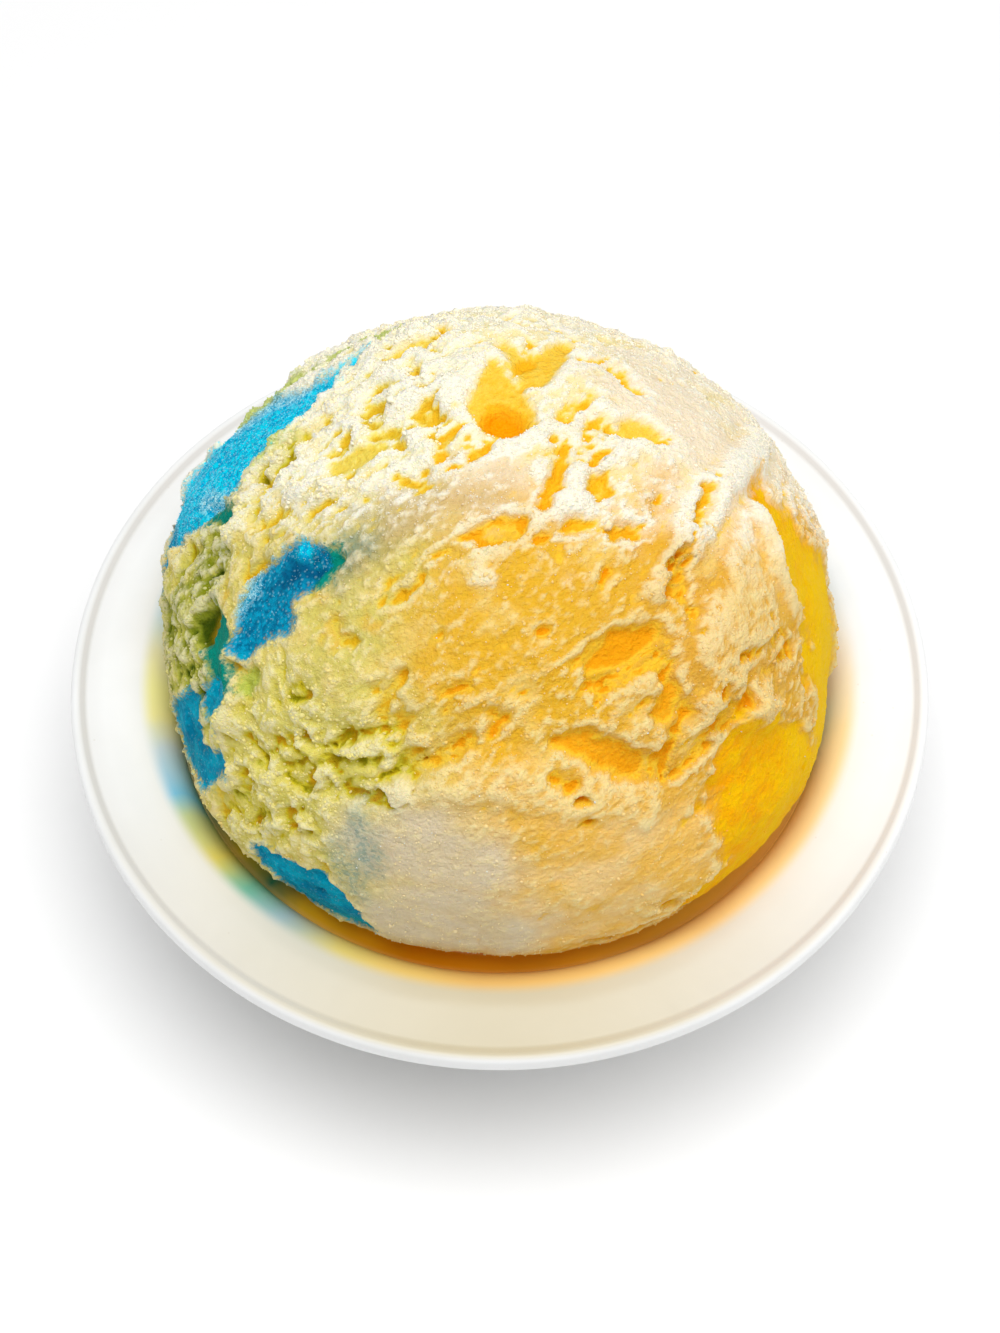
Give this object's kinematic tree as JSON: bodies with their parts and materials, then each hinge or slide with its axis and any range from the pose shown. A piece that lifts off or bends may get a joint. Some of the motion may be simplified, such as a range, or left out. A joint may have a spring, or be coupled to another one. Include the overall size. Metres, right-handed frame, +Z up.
{
  "type": "shaved ice dessert in a bowl",
  "caption": "Large torn ball of coloured shaved ice resting in a shallow round bowl with a flat brim, with melted syrup round its foot.",
  "frame": {"origin": "bottom centre of the bowl's foot ring, on the table", "axes": "+Z up; the side with the widest gap between ice and bowl faces -Y, and +X is to the right seen from there"},
  "size_m": [0.1, 0.1, 0.0765],
  "materials": {
    "bowl_glaze": "glossy white glaze",
    "ice": "frosty torn ice, mostly cream yellow with blue, green, white and amber patches",
    "syrup": "wet amber syrup"
  },
  "bodies": {
    "root": {"bowl": "bowl_glaze", "ice": "ice", "melt": "syrup"}
  },
  "joints": []
}
